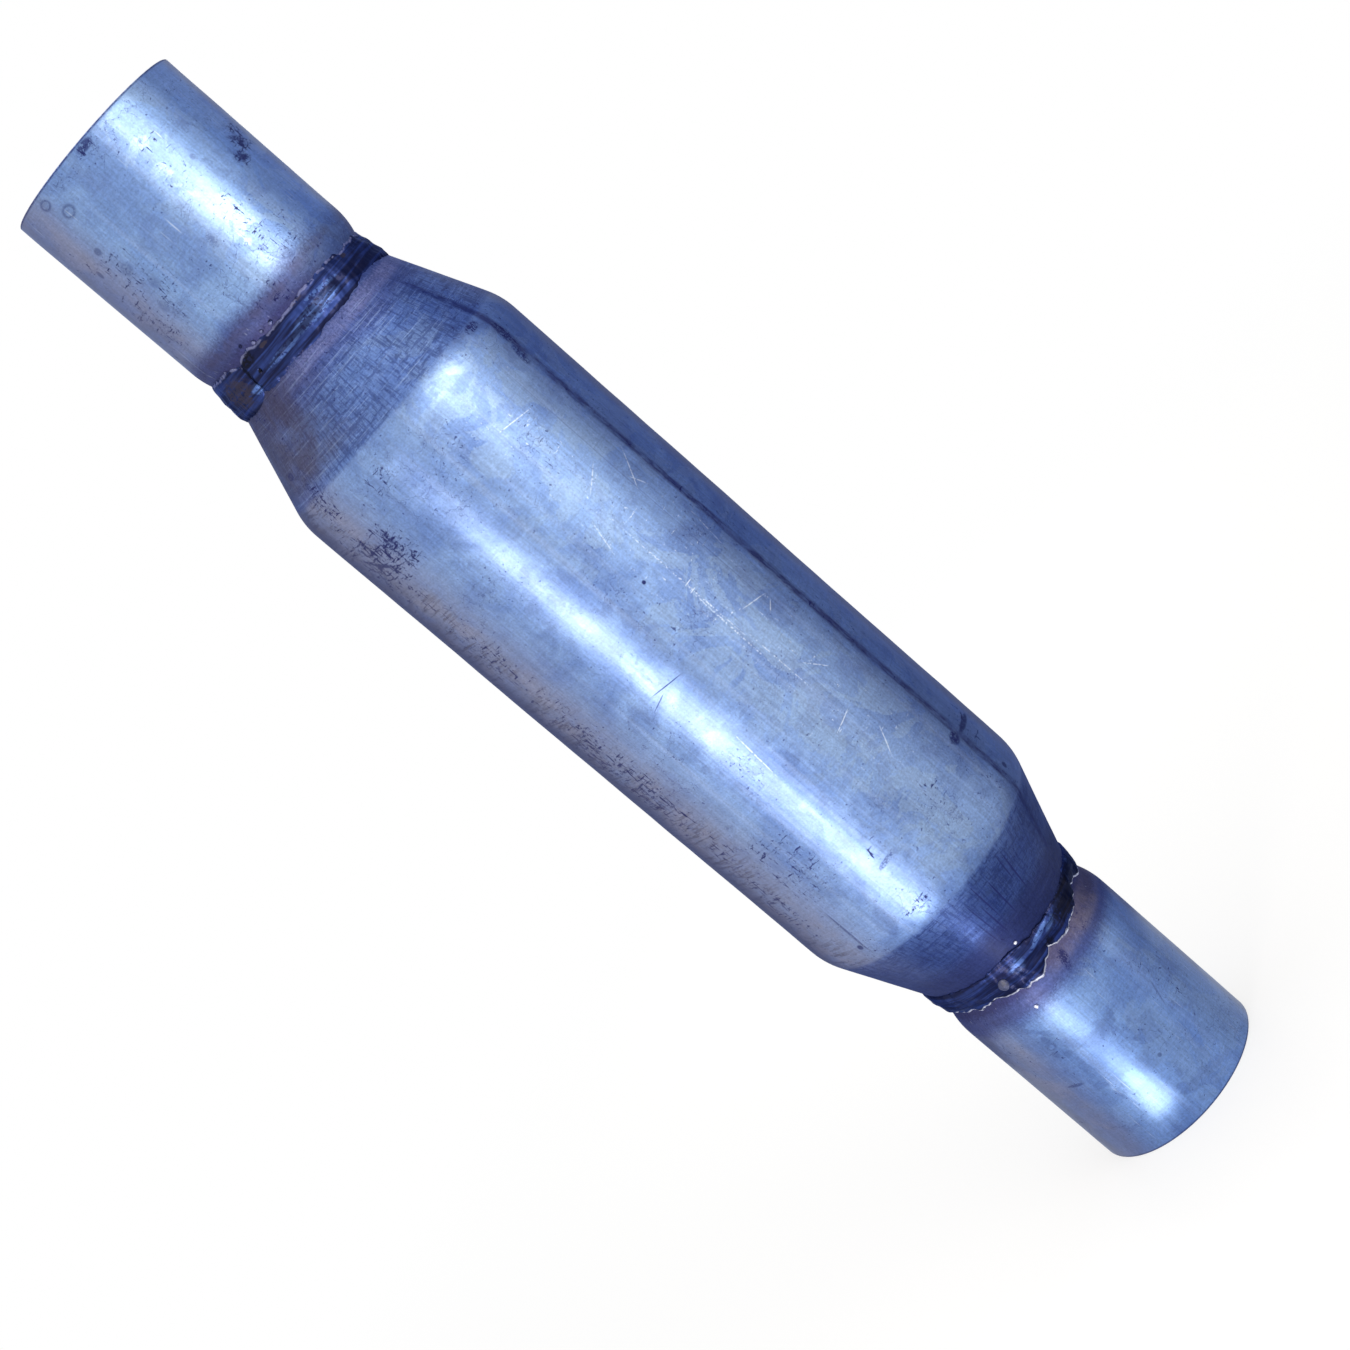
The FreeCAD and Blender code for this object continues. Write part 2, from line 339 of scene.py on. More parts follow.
def mark_group():
    """How far a point lies in a ragged oval mark: 1 inside, 0 outside."""
    tree = bpy.data.node_groups.new("mark", "ShaderNodeTree")
    names = ["A", "X", "Noise", "At A", "At X", "Half Round", "Half Along", "Turn", "Cut", "Radius"]
    for name in names:
        tree.interface.new_socket(name, in_out="INPUT", socket_type="NodeSocketFloat")
    tree.interface.new_socket("Factor", in_out="OUTPUT", socket_type="NodeSocketFloat")
    g = Graph(tree)
    given = dict(zip(names, g.node("NodeGroupInput").outputs))
    to_mm = g.times(given["Radius"], math.pi / 180)
    u = g.times(g.minus(given["A"], given["At A"]), to_mm)
    v = g.minus(given["X"], given["At X"])
    cosine = g.math("COSINE", given["Turn"])
    sine = g.math("SINE", given["Turn"])
    across = g.math("DIVIDE", g.add(g.times(u, cosine), g.times(v, sine)), given["Half Round"])
    along = g.math("DIVIDE", g.minus(g.times(v, cosine), g.times(u, sine)), given["Half Along"])
    away = g.math("SQRT", g.add(g.times(across, across), g.times(along, along)))
    oval = g.step(g.minus(away, g.swing(given["Noise"], 2.5)), 1.15, 0.85)
    broken = g.step(given["Noise"], g.minus(given["Cut"], 0.02), g.add(given["Cut"], 0.02))
    fade = g.step(away, 1.3, 0.6)
    g.node("NodeGroupOutput", {0: g.times(oval, broken, fade)})
    return tree


MARK = mark_group()


def marks(g, noise, radius, rows):
    """The strongest of several marks: a, x, half size round, half size along, turn, the noise
    below which the mark is broken, and strength."""
    strongest = None
    for a, x, half_round, half_along, turn, cut, strength in rows:
        values = {
            "A": g.a, "X": g.x, "Noise": noise, "At A": a, "At X": x, "Half Round": half_round,
            "Half Along": half_along, "Turn": math.radians(turn), "Cut": cut, "Radius": radius,
        }
        mark = g.node("ShaderNodeGroup", values, node_tree=MARK)
        factor = g.times(mark.outputs[0], strength)
        strongest = factor if strongest is None else g.most(strongest, factor)
    return strongest


# Marks on shell and pipes: a, x, half size round, half size along, turn, cut and strength.
# The rows of the hatch tables, which say where dirt lies, have no turn and no cut.
SHELL_DARK = [
    (52, 121, 2.4, 4.5, 0, 0.49, 0.8),
    (49, 128, 1.6, 4, 10, 0.49, 0.8),
    (48, 299, 2.6, 2.2, 0, 0.47, 0.9),
    (61, 300.5, 7, 1.2, 4, 0.45, 0.9),
    (57, 318, 1.2, 1.2, 0, 0, 0.8),
    (43.5, 112.6, 3.4, 1.6, 0, 0.485, 1),
    (37, 180, 0.25, 70, 0, 0.4, 0.25),
    (9.5, 195, 0.7, 0.7, 0, 0, 1),
    (-14, 219.5, 6, 0.22, 8, 0.42, 0.8),
    (-21, 221.5, 3.5, 0.2, -18, 0.42, 0.7),
    (-10, 303, 4, 1, -10, 0.49, 0.7),
    (-44, 135, 1.6, 5, 14, 0.51, 0.9),
    (-59, 137, 7, 0.9, 35, 0.46, 0.8),
    (-64, 141, 5, 0.6, -30, 0.45, 0.5),
    (-45, 313, 0.5, 10, 0, 0.45, 0.6),
    (-47, 319, 1.1, 1.1, 0, 0, 0.8),
    (-64, 102, 2.5, 1.2, 0, 0.47, 0.8),
    (23, 338, 0.35, 9, 0, 0.4, 0.8),
    (20, 334, 0.3, 6, 0, 0.4, 0.7),
    (10, 340, 0.35, 8, 0, 0.4, 0.8),
    (3, 336, 0.3, 9, 0, 0.4, 0.7),
    (0, 343, 0.35, 7, 0, 0.4, 0.8),
    (-4, 339, 0.3, 8, 0, 0.45, 0.7),
    (-7, 345, 0.3, 6, 0, 0.4, 0.6),
]
SHELL_HATCH = [
    (52, 121, 2, 5, 1),
    (49, 128, 1.6, 4, 1),
    (48, 299, 2.4, 2.5, 1),
    (60, 300, 6, 1.6, 0.9),
    (52, 200, 1.7, 95, 0.3),
    (22, 150, 9, 12, 0.3),
    (-66, 140, 4, 18, 0.8),
    (-61, 230, 9, 30, 0.9),
    (-60, 215, 9, 115, 0.4),
    (-45, 137, 7.5, 9, 1),
    (-57, 137, 8, 13, 1),
    (-14, 319, 8, 2.2, 0.9),
    (-53, 113, 4, 8, 0.8),
    (-9.5, 298, 4.5, 5.5, 0.45),
    (-38, 285, 10, 16, 0.5),
    (-60, 180, 7, 20, 0.6),
    (-62, 290, 6.5, 24, 0.7),
    (-30, 120, 9, 6, 0.35),
    (20, 302, 8, 7, 0.45),
    (62, 300, 6, 10, 0.5),
    (-20, 255, 6, 10, 0.35),
]
SHELL_LIGHT = [
    (42, 172, 0.2, 7, 38, 0.42, 0.55),
    (40, 176, 0.2, 4, -25, 0.42, 0.4),
    (27, 165, 0.2, 5, 60, 0.42, 0.4),
    (24, 138, 6.5, 0.2, 12, 0.42, 0.5),
    (33, 224, 5, 0.2, 18, 0.42, 0.5),
    (36, 229, 2.5, 0.2, -30, 0.42, 0.5),
    (19.6, 205, 0.25, 24, 0, 0.53, 0.55),
    (18.4, 222, 0.25, 16, 1, 0.53, 0.55),
    (21, 240, 0.2, 12, 0, 0.5, 0.5),
    (20.5, 205, 1.6, 0.16, 0, 0.3, 0.6),
    (19.5, 207.5, 1.3, 0.16, 0, 0.3, 0.6),
    (25, 280, 0.2, 5, 30, 0.42, 0.45),
    (19.5, 266, 4.2, 0.2, -12, 0.42, 0.5),
    (45, 200, 0.2, 9, 8, 0.48, 0.4),
    (30, 250, 0.2, 5, -35, 0.45, 0.4),
    (-12, 252, 0.2, 9, 4, 0.46, 0.4),
    (12, 178, 0.2, 6, 15, 0.46, 0.35),
]
PIPE_DARK = [
    (62, 31, 6, 1.3, 34, 0.49, 0.9),
    (50, 34.5, 3.5, 1.2, 20, 0.49, 0.9),
    (-4, 2, 3, 1.5, 0, 0.47, 0.85),
    (-36, 9.5, 3, 2.4, 0, 0, 0.2),
    (-43, 3.6, 2.5, 2, 0, 0, 0.2),
    (-44, 22, 1.4, 1.4, 0, 0.45, 0.5),
    (-57, 26, 1, 1.6, 0, 0.45, 0.5),
    (-40, 31, 2.2, 2.2, 0, 0.47, 0.4),
    (-35, 39, 1.8, 2, 0, 0.47, 0.35),
    (-43, 45, 1.6, 2.2, 0, 0.47, 0.35),
    (2, 44, 1.2, 2.2, 0, 0.49, 0.5),
    (28, 25, 1, 1, 0, 0.47, 0.4),
    (-45, 404, 3.4, 0.7, 10, 0.45, 0.6),
    (-34, 385, 1.6, 2, 0, 0.47, 0.45),
    (-37, 391, 1.3, 1.8, 0, 0.47, 0.4),
    (-31, 393, 1.6, 1.2, 0, 0.48, 0.4),
    (3, 414, 0.8, 0.8, 0, 0, 0.6),
    (30, 402, 0.4, 5, 20, 0.45, 0.4),
    (9, 370.5, 1.6, 4, 24, 0.49, 0.9),
]
PIPE_HATCH = [
    (66, 28, 4, 3.5, 1),
    (58, 32, 4, 3, 1),
    (49, 35, 3.5, 3, 1),
    (24, 52, 8, 16, 0.35),
    (-4, 2.5, 4, 2.5, 1),
    (5, 66, 9, 4, 0.45),
    (-33, 40, 6, 13, 0.4),
    (-44, 30, 4, 9, 0.4),
    (34, 47, 4, 8, 0.35),
    (-34, 389, 4, 7.5, 0.3),
    (-42, 401, 5, 4, 0.25),
    (-58, 40, 7, 20, 0.4),
    (15, 20, 9, 12, 0.25),
    (40, 400, 9, 14, 0.3),
]
PIPE_RINGS = [
    (-36, 9.5, 2.8, 2.2, 0, 0.45, 0.6),
    (-43, 3.6, 2.3, 1.8, 0, 0.45, 0.6),
    (-35, 388, 1.9, 1.6, 0, 0.45, 0.5),
]


def steel(name, is_pipe):
    """Blue-violet oxidised sheet steel, with heat tint by the welds, drawing or spinning lines,
    stains, scratches and dirt, and painted reflection and shade at its edges, on its right side
    towards the outlet and on the lower cone."""
    material, g = start_material(name)
    radius = PIPE_R if is_pipe else SHELL_R
    fine = g.noise(g.mm, 1.5, 3.0, 0.65)
    big = g.noise(g.mm, 0.028, 4.0, 0.6, 0.6)
    patches = g.noise(g.mm, 0.075, 6.0, 0.66, 0.9)
    axial = g.noise(g.scaled(g.mm, 1, 1, 0.02), 1.3, 4.0, 0.75)
    broad_axial = g.noise(g.scaled(g.mm, 1, 1, 0.03), 0.3, 2.0, 0.6)
    round_lines = g.noise(g.scaled(g.mm, 0.03, 0.03, 1.0), 1.6, 4.0, 0.75)
    # Marks break up along both sets of lines
    warp = g.times(g.add(fine, fine, axial, round_lines), 0.25)
    # Short strokes along the axis, round it and in no direction, for dirt and hair scratches
    stroke_size = 1.1 if is_pipe else 0.95
    along = g.noise(g.scaled(g.mm, 1.0, 1.0, 0.2), stroke_size, 4.0, 0.7)
    around = g.noise(g.scaled(g.mm, 0.2, 0.2, 1.0), stroke_size, 4.0, 0.7)
    strokes = g.most(along, around, g.noise(g.mm, 0.5, 5.0, 0.75))

    # Distance along the axis from the nearer weld root
    to_inlet = g.math("ABSOLUTE", g.minus(g.x, INLET_X))
    to_outlet = g.math("ABSOLUTE", g.minus(g.x, OUTLET_X))
    away = g.math("MINIMUM", to_inlet, to_outlet)
    wavy_away = g.add(away, g.swing(fine, 3.0), g.swing(big, 6.0))

    # Two blues, with two kinds of stain and pale lines along the axis
    pale = rgb(124, 157, 206) if is_pipe else rgb(118, 149, 200)
    deep = rgb(96, 129, 186) if is_pipe else rgb(84, 116, 176)
    colour = g.mix(g.step(g.add(g.times(big, 0.6), g.times(patches, 0.4)), 0.38, 0.62), deep, pale)
    stain = g.step(g.noise(g.mm, 0.055, 6.0, 0.62, 1.2), 0.5, 0.52)
    colour = g.over(colour, rgb(138, 164, 198), stain, g.step(g.a, -12, 8), 0.4)
    second = g.step(g.noise(g.mm, 0.09, 6.0, 0.6, 0.8), 0.56, 0.58)
    colour = g.over(colour, rgb(78, 104, 164), second, 0.25)
    colour = g.over(colour, rgb(150, 172, 214), g.step(broad_axial, 0.48, 0.8), 0.35)

    # Painted reflection and shade at the edges, away from the lit front: violet-grey over the
    # lower-left side, a darker lower-left edge and a brownish right edge. Brown and beige patches
    # lie in the lower-left band.
    side = g.times(g.step(g.a, -165, -105), g.step(g.a, -30, -58))
    colour = g.over(colour, rgb(112, 115, 146), side, g.step(patches, 0.25, 0.7, 0.6, 1.0), 0.85)
    brown = g.times(g.band(g.a, -115, -62, 14.0), g.step(g.noise(g.mm, 0.11, 5.0, 0.65), 0.35, 0.7))
    colour = g.over(colour, rgb(106, 98, 108), brown, 0.7)
    # Painted shade: a darker lower-left edge
    low_edge_painted_shade = g.times(g.step(g.a, -128, -84), g.step(g.a, -63, -77))
    colour = g.over(colour, rgb(92, 92, 116) if is_pipe else rgb(72, 68, 92), low_edge_painted_shade, 0.8)
    # Painted reflection: a brownish right edge
    far_edge_painted_reflection = g.times(g.band(g.a, 72, 112, 6.0), g.step(patches, 0.3, 0.6, 0.6, 1.0))
    colour = g.over(colour, rgb(134, 128, 130), far_edge_painted_reflection, 0.8)
    beige = g.times(g.band(g.a, -74, -50, 7.0), g.step(g.noise(g.mm, 0.07, 4.0, 0.6), 0.48, 0.62))
    colour = g.over(colour, rgb(138, 136, 156), beige, 0.4)

    # Heat tint, weaker on the inlet pipe's right side
    near = g.step(wavy_away, 19.0, 11.0)
    tint = g.minus(1.0, g.times(g.step(g.x, 78, 70), g.step(g.a, 5, 45), 0.55))
    colour = g.over(colour, rgb(62, 72, 128), near, tint, 0.9)
    brown_band = g.times(g.band(wavy_away, 9.0, 13.0, 3.0), g.step(patches, 0.35, 0.6, 0.1, 0.6))
    colour = g.over(colour, rgb(70, 62, 84), brown_band, g.step(g.x, 250, 150, 0.45, 1.0))
    colour = g.over(colour, rgb(50, 50, 96), g.step(wavy_away, 10.0, 6.0), tint, 0.85)

    veins = g.times(g.cracks(g.mm, 0.13, 0.03, 7.0), g.step(g.noise(g.mm, 0.05, 3.0), 0.52, 0.6))
    veins = g.times(veins, g.step(fine, 0.42, 0.55), 0.5)
    if is_pipe:
        inner = [(a, x, 0.6 * u, 0.6 * v, turn, cut, 1.0) for a, x, u, v, turn, cut, _ in PIPE_RINGS]
        rings = marks(g, warp, radius, PIPE_RINGS)
        rings = g.times(rings, g.minus(1.0, marks(g, warp, radius, inner)))
        dark = g.most(marks(g, warp, radius, PIPE_DARK), rings)
        light = g.times(g.step(g.noise(g.scaled(g.mm, 1, 1, 0.05), 1.2, 2.0), 0.68, 0.78), 0.4)

        # Crust beside the outlet weld, and dark edges at the open ends
        crust = g.times(g.band(g.x, 363.5, 371, 1.5), g.step(g.a, -8, 8))
        crust = g.times(crust, g.step(patches, 0.35, 0.6, 0.4, 1.0))
        colour = g.over(colour, rgb(116, 108, 122), crust, 0.6)
        end = g.math("MINIMUM", g.x, g.minus(LENGTH, g.x))
        dark = g.most(dark, g.times(g.step(end, 0.9, 0.3), g.step(fine, 0.35, 0.55, 0.4, 0.9)))
    else:
        # Spun cones: darker, cross-hatched and with pale threads
        on_cone = g.step(away, 36.0, 33.5)
        colour = g.over(colour, rgb(76, 97, 158), on_cone, 0.55)
        flat = g.combine(g.times(g.a, 0.62), g.times(g.x, 0.09), 0.0)
        hatch = g.most(g.step(g.noise(flat, 1.2, 4.0, 0.7), 0.5, 0.58), g.step(around, 0.52, 0.58))
        hatch = g.times(hatch, g.step(g.math("ABSOLUTE", g.a), 172, 150))
        colour = g.over(colour, rgb(38, 54, 112), on_cone, hatch, 0.6)
        threads = g.times(on_cone, g.step(round_lines, 0.54, 0.66), g.step(g.x, 330, 200, 0.1, 0.35))
        colour = g.over(colour, rgb(150, 172, 210), threads)

        # The lower cone is darker towards its weld, partly heat tint and partly painted shade where it
        # faces down; the upper one has a pale margin at the weld and is brown on its left side
        lower_cone_tint_and_shade = g.times(g.step(g.x, 318, 330), g.step(away, 40, 24))
        colour = g.over(colour, rgb(34, 52, 112), lower_cone_tint_and_shade, 0.65)
        colour = g.over(colour, rgb(34, 34, 76), g.step(g.x, 341, 349, 0.0, 0.45))
        margin = g.times(g.band(g.add(g.x, g.times(fine, 3.0)), 83.5, 88, 1.0), g.step(g.a, -45, -10))
        margin = g.times(margin, g.step(patches, 0.3, 0.6, 0.5, 1.0))
        colour = g.over(colour, rgb(126, 127, 168), margin, g.step(fine, 0.35, 0.6, 0.25, 0.5))
        upper = g.times(g.step(g.x, 110, 104), g.step(g.a, -5, -45))
        colour = g.over(colour, rgb(66, 58, 74), upper, g.step(patches, 0.3, 0.6, 0.5, 1.0), 0.7)

        low_side = g.times(g.band(g.a, -120, -52, 9.0), g.minus(1.0, on_cone))
        scuff = g.noise(g.scaled(g.mm, 0.1, 0.1, 1.0), 0.9, 5.0, 0.75)
        scuff = g.times(g.step(scuff, 0.52, 0.57), g.step(g.noise(g.mm, 0.035, 3.0), 0.36, 0.54))
        colour = g.over(colour, rgb(50, 48, 84), low_side, scuff, 0.7)
        seam = g.band(g.add(g.a, g.swing(big, 1.2)), SEAM_A - 2.0, SEAM_A + 2.0, 1.2)
        seam = g.times(seam, g.step(away, 11.0, 16.0))
        worn = g.step(g.add(along, patches), 0.84, 1.12, 0.3, 0.95)
        colour = g.over(colour, rgb(30, 44, 108), seam, worn)
        dark = marks(g, warp, radius, SHELL_DARK)
        scored = g.times(g.band(g.a, 8, 42, 8.0), g.band(g.x, 125, 290, 25.0), g.step(fine, 0.42, 0.55))
        hairs = g.most(g.step(along, 0.345, 0.31), g.step(around, 0.345, 0.31))
        light = g.most(marks(g, fine, radius, SHELL_LIGHT), g.times(scored, hairs, 0.6))

    # Dirt: specks all over, and strokes where the mesh's attribute grime is high
    specks = g.step(g.noise(g.mm, 0.8, 3.0, 0.6), 0.655, 0.69)
    speck_area = g.step(g.noise(g.mm, 0.05, 4.0, 0.6), 0.42, 0.58, 0.25, 1.0)
    area = g.node("ShaderNodeAttribute", attribute_name="grime").outputs["Fac"]
    area = g.add(area, g.swing(patches, g.step(area, 0.02, 0.3), 1.4))
    hatching = g.step(g.add(strokes, g.times(area, 0.12)), 0.655, 0.71)
    hatching = g.times(hatching, g.step(area, 0.04, 0.3), g.step(g.a, -66, -50, 0.7, 1.0))
    fine_dark = g.most(hatching, g.times(specks, speck_area, 0.8), veins)
    dark = g.most(dark, fine_dark)

    # Grain, and painted shade: the right side towards the outlet is made darker, where the light falls off
    grain = g.add(-0.12, fine, g.times(axial, 0.8), g.times(round_lines, 0.48))
    if is_pipe:
        painted_dimming = g.times(g.step(g.x, 380, 405, 0.0, 0.22), g.step(g.a, 25, 50), g.step(g.a, 120, 90))
    else:
        painted_dimming = g.times(g.step(g.x, 140, 300, 0.0, 0.17), g.step(g.a, -6, 16), g.step(g.a, 75, 55))
    colour = g.shade(colour, g.minus(grain, painted_dimming))
    colour = g.over(colour, rgb(232, 240, 250), light, 0.95)
    colour = g.over(colour, rgb(28, 32, 92), dark, 0.95)

    rough = g.add(0.34, g.times(patches, 0.14), g.times(near, 0.2), g.times(dark, 0.2))
    rough = g.add(rough, g.times(side, 0.08))
    rough = g.minus(rough, g.times(g.most(stain, second), 0.09))
    matt = g.most(dark, near) if is_pipe else g.most(dark, near, on_cone)
    height = g.add(g.times(axial, 0.5), g.times(round_lines, 0.4), g.times(fine, 0.5))
    normal = g.bump(g.add(height, g.times(fine_dark, -0.8)), 0.14, 0.0002)
    coat = {"Coat Weight": g.step(matt, 0.0, 1.0, 0.5, 0.08), "Coat Roughness": 0.3, "Coat IOR": 1.9}
    finish_material(g, colour, rough, normal, {"Metallic": 0.92} | coat)
    return material


# Marks on the welds, with the same columns
# Painted highlights and glints: lighter blue on the crowns, and glints on a lump and on a spatter ball
WELD_PAINTED_HIGHLIGHTS = [
    (9, 76.8, 10, 2.2, 0, 0.45, 0.75),
    (20, 74, 7, 0.8, 8, 0.45, 0.5),
    (-16, 77.6, 8, 1.2, 0, 0.45, 0.6),
    (-45, 78.8, 2.4, 1.8, 0, 0.4, 0.8),
    (-11, 360, 3.2, 2.2, 0, 0.4, 0.5),
    (9, 359, 5.5, 0.9, -12, 0.4, 0.7),
    (63.5, 357, 1.2, 1.2, 0, 0.4, 0.7),
    (-21.4, 374, 1.6, 1.6, 0, 0, 1),
    (19, 359.5, 3.2, 1, -14, 0.4, 0.6),
]
WELD_BROWN = [
    (46, 72.8, 1.6, 0.7, 0, 0, 0.9),
    (-22, 72.2, 1.8, 0.7, 0, 0, 0.9),
    (-58, 76, 7, 5, 0, 0.44, 0.8),
    (6, 71.3, 2.6, 0.6, 0, 0.45, 0.7),
]
# Painted shade: black in the pinhole, the notch and the creases where runs meet, and over the outlet weld's
# right side
WELD_PAINTED_SHADE = [
    (-36, 71.5, 3.6, 2.2, 0, 0.47, 0.9),
    (-34.7, 76.25, 0.75, 0.7, 0, 0, 1),
    (-42.5, 75, 0.8, 5, 0, 0.45, 0.8),
    (52, 360.5, 20, 5, 0, 0, 0.85),
    (10.6, 364, 1.6, 3, 20, 0.45, 0.8),
]

# Radius at which the marks on the welds are measured
WELD_R = 31.5


def weld_metal():
    """Dark glassy oxide over the weld, flowing the way the weld was laid, with painted highlights
    on the crowns, painted shade in the pinhole, notch and creases and on the outlet weld's right
    side, and painted glints along the toe at the outlet.
    """
    material, g = start_material("weld_metal")
    across = g.node("ShaderNodeAttribute", attribute_name="across").outputs["Fac"]
    warp = g.noise(g.mm, 0.9, 4.0, 0.65)
    streak = g.noise(g.scaled(g.mm, 0.055, 0.055, 1.0), 0.75, 3.0, 0.5, 0.5)
    lump = g.noise(g.mm, 0.22, 3.0, 0.6)
    fine = g.noise(g.mm, 2.0, 3.0, 0.6)
    colour = g.mix(g.step(streak, 0.4, 0.66), rgb(20, 26, 62), rgb(44, 62, 122))
    colour = g.over(colour, rgb(28, 26, 56), g.step(lump, 0.45, 0.75), 0.5)
    # Painted highlights: lighter blue streaks on the crowns, and glints
    light = marks(g, warp, WELD_R, WELD_PAINTED_HIGHLIGHTS)
    colour = g.over(colour, rgb(94, 126, 192), light, g.step(streak, 0.4, 0.62, 0.15, 1.0))
    # Painted shade: black in the pinhole, notch and creases, and over the outlet weld's right side
    colour = g.over(colour, rgb(10, 10, 24), marks(g, warp, WELD_R, WELD_PAINTED_SHADE))
    colour = g.over(colour, rgb(58, 52, 66), marks(g, warp, WELD_R, WELD_BROWN))

    # Pale crumbs along the toe on the pipe; at the outlet they are near white, a painted glint where the toe
    # catches the light
    at_outlet = g.step(g.x, 150, 250)
    crumbs = g.add(g.noise(g.mm, 0.45, 3.0), g.times(at_outlet, 0.07))
    edge = g.times(g.step(across, 0.09, 0.04), g.step(crumbs, 0.42, 0.52))
    crust_and_glint_colour = g.mix(at_outlet, rgb(152, 156, 200), rgb(236, 238, 250))
    colour = g.over(colour, crust_and_glint_colour, edge, g.step(g.x, 150, 250, 0.5, 0.9))
    rough = g.add(0.26, g.times(lump, 0.2), g.times(edge, 0.15), g.times(fine, 0.08))
    normal = g.bump(g.add(streak, g.times(fine, 0.06), g.times(warp, 0.12)), 0.25, 0.0004)
    finish_material(g, colour, rough, normal, {
        "Metallic": 0.88, "Coat Weight": 0.12, "Coat Roughness": 0.1,
        "Specular Tint": (0.45, 0.5, 0.7, 1.0),
    })
    return material


def slag_glass():
    material, g = start_material("slag")
    blotch = g.noise(g.mm, 0.9, 4.0, 0.6)
    colour = g.mix(g.step(blotch, 0.35, 0.65), rgb(36, 42, 70), rgb(60, 66, 104))
    finish_material(g, colour, g.add(0.32, g.times(blotch, 0.2)), g.bump(blotch, 0.4, 0.0003))
    return material


def core_steel():
    material, g = start_material("core_steel")
    lines = g.noise(g.scaled(g.mm, 1, 1, 0.03), 1.8, 3.0, 0.6)
    cloud = g.noise(g.mm, 0.05, 4.0, 0.6)
    colour = g.mix(g.step(cloud, 0.35, 0.65), rgb(142, 142, 146), rgb(172, 170, 168))
    colour = g.over(colour, rgb(104, 106, 114), g.step(lines, 0.45, 0.75), 0.4)
    soot = g.step(g.noise(g.mm, 0.12, 4.0, 0.65), 0.48, 0.7)
    colour = g.over(colour, rgb(84, 80, 82), soot, 0.5)
    rough = g.add(0.34, g.times(cloud, 0.15))
    finish_material(g, colour, rough, g.bump(lines, 0.15, 0.0002), {"Metallic": 0.9})
    return material


def fibre(name, dark, light, scale, strength):
    """Tangled strands: stretched noise in three directions."""
    material, g = start_material(name)
    layers = []
    for stretch in ((1.0, 0.12, 0.3), (0.15, 1.0, 0.4), (0.4, 0.2, 1.0)):
        layers.append(g.noise(g.scaled(g.mm, *stretch), scale, 3.0, 0.6, 1.2))
    strands = g.most(*layers)
    colour = g.mix(g.step(strands, 0.48, 0.72), dark, light)
    finish_material(g, colour, g.add(0.6, g.times(strands, 0.25)), g.bump(strands, strength, 0.0008))
    return material


SHELL_STEEL = steel("shell_steel", False)
PIPE_STEEL = steel("pipe_steel", True)
WELD = weld_metal()
SLAG = slag_glass()
CORE = core_steel()
WOOL = fibre("wool", rgb(70, 68, 66), rgb(164, 160, 156), 0.9, 0.8)
FIBRE = fibre("fibre", rgb(196, 184, 138), rgb(238, 230, 200), 0.5, 0.7)


# Shell and pipes. The waves are swells of hundredths of a millimetre. ROUND holds the angles
# of the points, which lie closer together across the seam. Up to CONE_WALL_END from the weld
# root, the wall is measured square to the cone.
ROUND = np.arange(0, 360, 1.5)
SEAM_HALF = 3.2
SEAM_STEP = 0.32
CONE_WALL_END = 34


def shell_piece():
    """Tube, seam and both cones as one skin."""
    seam = SEAM_A + np.arange(-SEAM_HALF, SEAM_HALF + 0.01, SEAM_STEP)
    angles = np.sort(np.concatenate([ROUND[np.abs(ROUND - SEAM_A) > SEAM_HALF + 0.2], seam]))
    outer = [(float(cone_r(from_root(z))), z) for z in np.linspace(OUTLET_ROOT, INLET_ROOT, 241)]
    inner = []
    for z in np.linspace(INLET_ROOT, OUTLET_ROOT, 96):
        distance = from_root(z)
        wall = SHELL_WALL / math.cos(CONE_ANGLE) if distance < CONE_WALL_END else SHELL_WALL
        inner.append((max(float(cone_r(distance)) - wall, THROAT_R), z))

    def shape(a, radius, z):
        points = place(radius, a, z)
        away = from_root(z)
        swell = 0.045 * waves(points, 70, 3) + 0.012 * waves(points, 14, 4)
        offset = np.abs((a - SEAM_A + 180) % 360 - 180)
        ridge = 0.015 * smooth(offset, 3.0, 1.0) * smooth(away, 10, 12) * (radius > THROAT_R + 1.6)
        bead = 0.03 * waves(points, 5, 5) * smooth(offset, 2.2, 1.4)
        out = swell * smooth(away, 8, 20) + ridge + bead * smooth(away, 10, 14)
        return out * (radius > THROAT_R + 0.01)

    return lathe("body_shell_skin", outer + inner, angles, SHELL_STEEL, shape)


